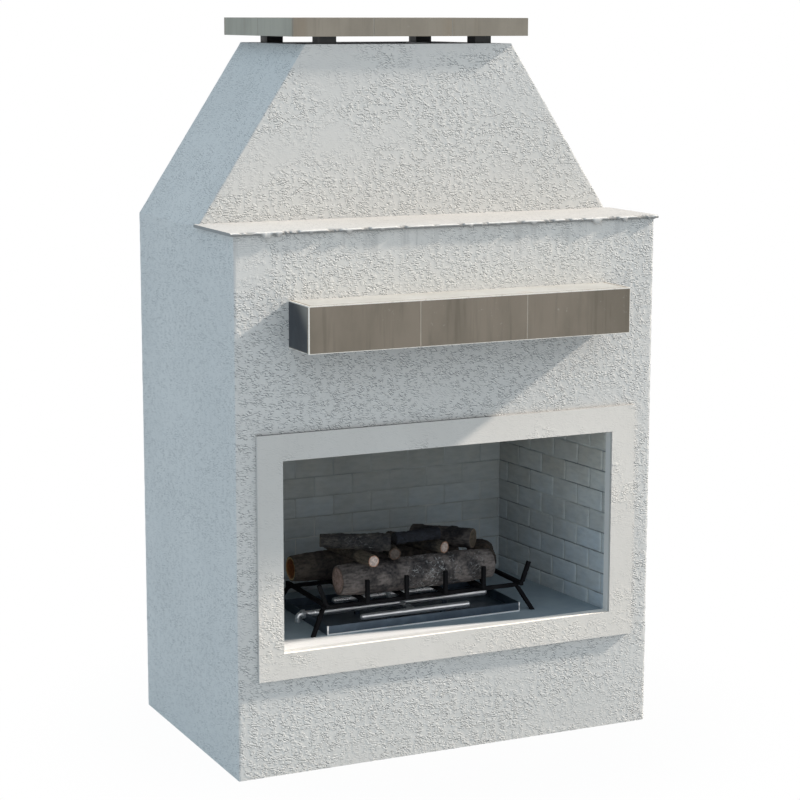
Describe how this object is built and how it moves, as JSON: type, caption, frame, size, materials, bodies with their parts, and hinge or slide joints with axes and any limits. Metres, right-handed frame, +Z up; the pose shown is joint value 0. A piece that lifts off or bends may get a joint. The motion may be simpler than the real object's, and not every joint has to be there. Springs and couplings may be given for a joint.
{
  "type": "outdoor gas fireplace",
  "caption": "Free-standing outdoor gas fireplace: stucco body with a tapered hood, tiled mantel and chimney cap, brick-lined firebox, burner, grate and ceramic logs, with a rear access door.",
  "frame": {"origin": "middle of the bounding box in plan, on the ground", "axes": "+Z up along the height, the longest extent; +Y from the firebox's open front to the back, the shortest extent; +X to the right when facing the firebox"},
  "size_m": [1.24, 0.868, 1.948],
  "materials": {
    "stucco": "rough sprayed stucco, light warm grey",
    "smooth_stucco": "trowelled smooth stucco, light warm grey",
    "cement_board": "raw cement board, matt grey",
    "frame_steel": "galvanised tube, dull grey",
    "tile": "honed porcelain tile, taupe grey",
    "tile_edge": "pale tile trim, honed",
    "cap_stone": "light concrete",
    "core_wood": "treated softwood, raw",
    "post_steel": "black, satin",
    "brick": "firebrick panel, matt grey",
    "hearth": "cast refractory slab, matt light grey",
    "sheet_steel": "galvanised sheet, dull",
    "pan_steel": "stainless sheet, blue-grey, satin",
    "pipe_steel": "stainless tube, satin",
    "black_pipe": "black pipe, satin",
    "valve_brass": "machined brass",
    "lever_yellow": "yellow enamel, gloss",
    "grate_iron": "black high-heat paint, matt",
    "log_ceramic": "painted ceramic fibre, grey-brown bark",
    "charred_ceramic": "painted ceramic fibre, charred black",
    "door_steel": "light grey powder coat, satin",
    "pin_steel": "plain steel, satin"
  },
  "bodies": {
    "casing": {"base_rails": "frame_steel", "corner_studs": "frame_steel", "hearth_rails": "frame_steel", "shoulder_rails": "frame_steel", "lintel_angle": "frame_steel", "hood_frame": "frame_steel", "front_board": "cement_board", "side_boards": "cement_board", "back_board": "cement_board", "shoulder_board": "cement_board", "hood_front_board": "cement_board", "hood_side_boards": "cement_board", "front_stucco": "stucco", "left_stucco": "stucco", "right_stucco": "stucco", "back_stucco": "stucco", "hood_front_stucco": "stucco", "hood_left_stucco": "stucco", "hood_right_stucco": "stucco", "shoulder_ledge": "smooth_stucco", "firebox_surround": "smooth_stucco", "mantel_core": "core_wood", "mantel_front_tiles": "tile", "mantel_end_tiles": "tile", "mantel_top_tile": "tile_edge", "mantel_bottom_tile": "tile", "mantel_edge_trim": "tile_edge", "mantel_brackets": "frame_steel", "mantel_anchors": "pin_steel", "cap_core": "cap_stone", "cap_face_tiles": "tile", "cap_end_tiles": "tile", "cap_top_tiles": "tile", "cap_posts": "post_steel", "hood_top_plate": "sheet_steel", "flue_liner": "sheet_steel", "smoke_chamber": "sheet_steel", "firebox_shell": "sheet_steel", "back_brick_panel": "brick", "left_brick_panel": "brick", "right_brick_panel": "brick", "hearth_panel": "hearth", "burner_pan": "pan_steel", "burner_tubes": "pipe_steel", "gas_inlet": "pipe_steel", "gas_connector": "pipe_steel", "gas_riser": "black_pipe", "shutoff_valve": "valve_brass", "log_grate": "grate_iron", "front_log": "log_ceramic", "rear_log": "log_ceramic", "upper_left_log": "log_ceramic", "charcoal_log": "charred_ceramic", "upper_right_log": "log_ceramic", "right_log": "log_ceramic", "branch_logs": "log_ceramic", "door_frame": "door_steel", "door_hinge_pins": "pin_steel"},
    "rear_door": {"rear_door": "door_steel"},
    "shutoff_lever": {"shutoff_lever": "lever_yellow"}
  },
  "joints": [
    {"name": "rear_door_hinge", "type": "hinge", "parent": "casing", "child": "rear_door", "pos_m": [-0.343, 0.423, 0.155], "axis": [0, 0, 1], "range_deg": [0, 110]},
    {"name": "shutoff_lever_turn", "type": "hinge", "parent": "casing", "child": "shutoff_lever", "pos_m": [-0.25, 0.278, 0.155], "axis": [0, -1, 0], "range_deg": [0, 90]}
  ]
}
